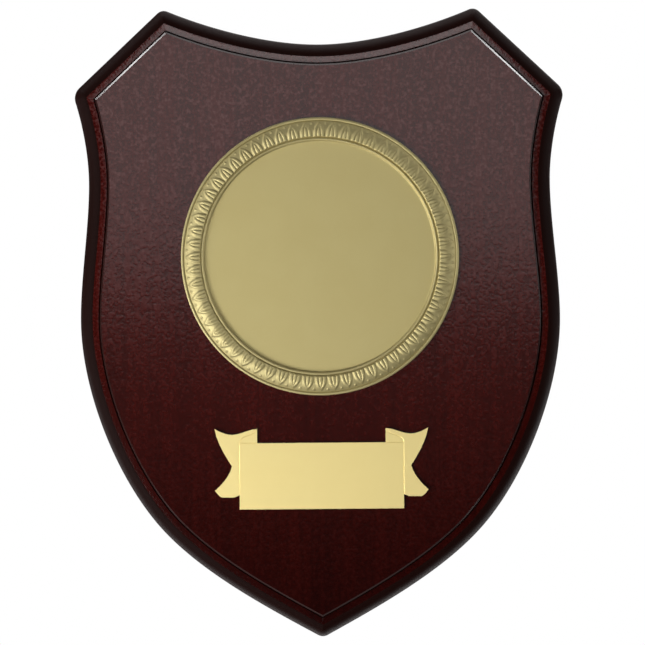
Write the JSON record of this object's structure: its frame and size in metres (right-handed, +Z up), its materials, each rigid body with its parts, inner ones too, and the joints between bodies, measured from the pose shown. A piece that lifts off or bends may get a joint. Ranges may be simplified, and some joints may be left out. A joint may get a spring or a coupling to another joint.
{
  "type": "heraldic shield wall plaque",
  "caption": "Shield-shaped wooden wall plaque with a moulded edge, a round gilt metal centre with a leaf border, and a blank scroll plate for an inscription.",
  "frame": {"origin": "on the flat back of the board, on its centre line, halfway between the tip and the tops of the horns", "axes": "+Z up towards the horns, -Y out of the front face, +Y into the wall, +X to the viewer's right"},
  "size_m": [0.1552, 0.0178, 0.1999],
  "materials": {
    "board": "dark red mahogany stain under a gloss lacquer, with a faint orange-peel texture",
    "disc": "pale gilt, satin in the middle and bright on the pressed border",
    "plate": "pale matt gilt with fine engraved fold lines"
  },
  "bodies": {
    "root": {"shield_board": "board", "centre_disc": "disc", "scroll_plate": "plate"}
  },
  "joints": []
}
